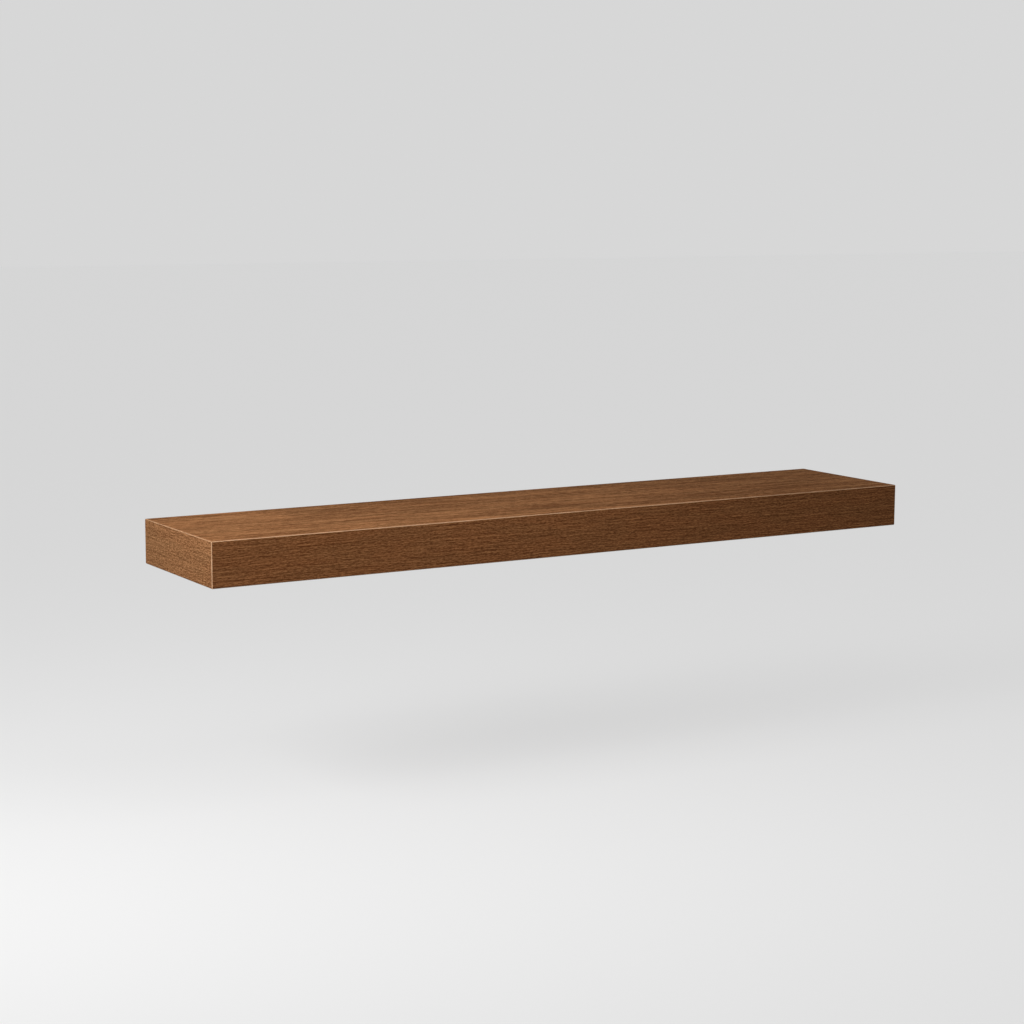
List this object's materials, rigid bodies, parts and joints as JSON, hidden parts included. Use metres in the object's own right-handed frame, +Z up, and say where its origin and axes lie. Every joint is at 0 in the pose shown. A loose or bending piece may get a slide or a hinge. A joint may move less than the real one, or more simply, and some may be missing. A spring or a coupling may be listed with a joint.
{
  "type": "floating wall shelf",
  "caption": "Straight rectangular wood-veneered floating wall shelf that slides over a hidden steel rod bracket.",
  "frame": {"origin": "on the wall plane, at the middle of the wall plate, where the middle rod's axis meets the wall", "axes": "+X along the shelf to the right as seen from the room, +Y into the wall, +Z up"},
  "size_m": [0.914, 0.184, 0.05],
  "materials": {
    "walnut_veneer": "matte",
    "birch_plywood": "matte",
    "poplar_frame": "matte",
    "kraft_paper": "matte",
    "beech_tenon": "matte",
    "brass": "satin",
    "black_steel": "matte",
    "zinc_steel": "satin"
  },
  "bodies": {
    "wall_bracket": {"wall_plate": "black_steel", "support_rod_left": "black_steel", "support_rod_centre": "black_steel", "support_rod_right": "black_steel", "weld_beads": "black_steel"},
    "shelf_box": {"top_panel": "walnut_veneer", "bottom_panel": "walnut_veneer", "front_panel": "walnut_veneer", "left_end_panel": "walnut_veneer", "right_end_panel": "walnut_veneer", "front_splines": "birch_plywood", "left_end_splines": "birch_plywood", "right_end_splines": "birch_plywood", "front_rail": "poplar_frame", "rear_rail": "poplar_frame", "left_end_rail": "poplar_frame", "right_end_rail": "poplar_frame", "rod_block_left": "poplar_frame", "rod_block_centre": "poplar_frame", "rod_block_right": "poplar_frame", "honeycomb_core_1": "kraft_paper", "honeycomb_core_2": "kraft_paper", "honeycomb_core_3": "kraft_paper", "honeycomb_core_4": "kraft_paper", "frame_tenons": "beech_tenon", "thread_inserts": "brass"},
    "left_lock_screw": {"lock_screw_left": "zinc_steel"},
    "right_lock_screw": {"lock_screw_right": "zinc_steel"}
  },
  "joints": [
    {"name": "shelf_slide", "type": "slide", "parent": "wall_bracket", "child": "shelf_box", "axis": [0, -1, 0], "range_m": [0, 0.15]},
    {"name": "left_lock_screw_slide", "type": "slide", "parent": "shelf_box", "child": "left_lock_screw", "axis": [0, 0, -1], "range_m": [0, 0.004]},
    {"name": "right_lock_screw_slide", "type": "slide", "parent": "shelf_box", "child": "right_lock_screw", "axis": [0, 0, -1], "range_m": [0, 0.004]}
  ]
}
